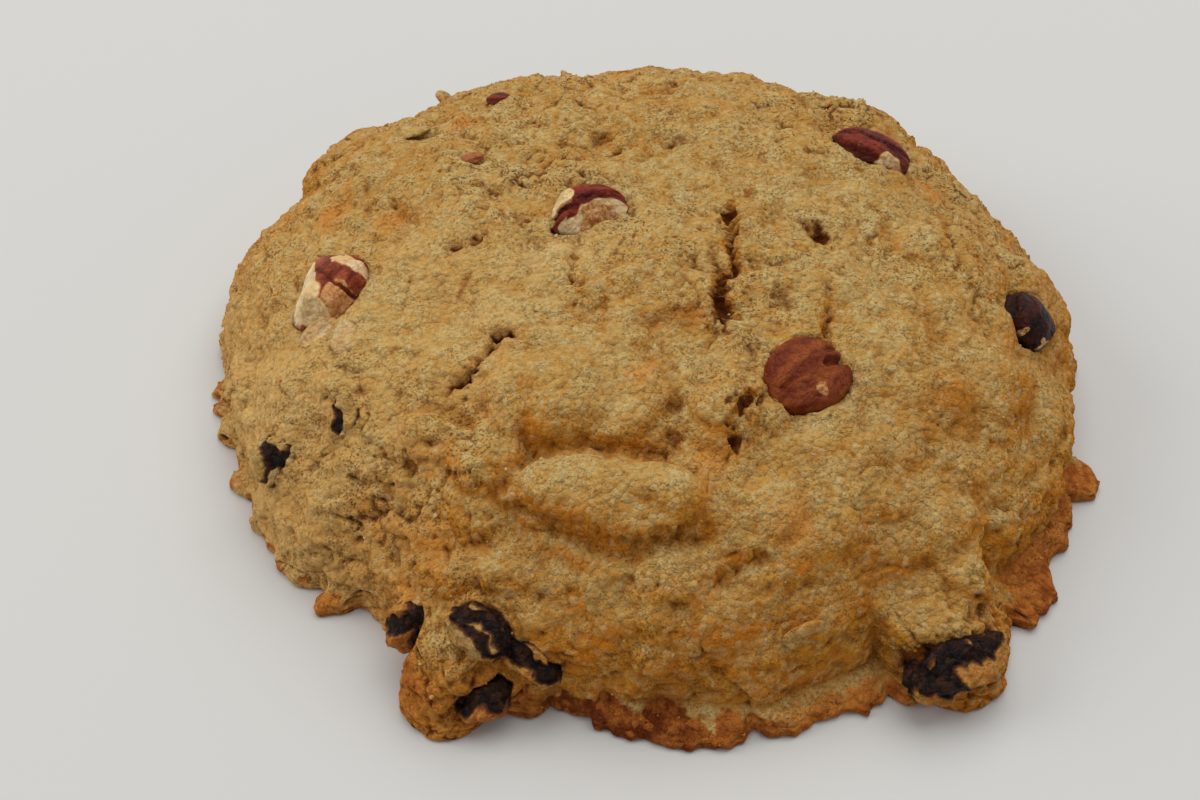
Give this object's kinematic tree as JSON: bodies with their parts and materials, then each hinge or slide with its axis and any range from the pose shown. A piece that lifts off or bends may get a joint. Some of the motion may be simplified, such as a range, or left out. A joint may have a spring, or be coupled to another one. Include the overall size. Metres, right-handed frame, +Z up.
{
  "type": "oatmeal raisin cookie with pecans",
  "caption": "Thick round drop cookie of oatmeal dough with raisins and chopped pecans, for a plate, tray or food scene.",
  "frame": {"origin": "middle of the flat underside, on the surface that the cookie rests on", "axes": "+Z up through the cookie, -Y towards the eater, +X to the right"},
  "size_m": [0.092, 0.0917, 0.0238],
  "materials": {
    "dough": "matte baked dough, crumbly, browner at the foot",
    "pecan": "satin nut skin, pale where it is broken",
    "raisin": "dark wrinkled skin with a dull shine"
  },
  "bodies": {
    "root": {"cookie": "dough", "pecan_1": "pecan", "pecan_2": "pecan", "pecan_3": "pecan", "pecan_4": "pecan", "pecan_5": "pecan", "pecan_bit_1": "pecan", "pecan_bit_2": "pecan", "raisin_1": "raisin", "raisin_2": "raisin", "raisin_3": "raisin", "raisin_4": "raisin", "raisin_5": "raisin", "raisin_6": "raisin", "raisin_7": "raisin"}
  },
  "joints": []
}
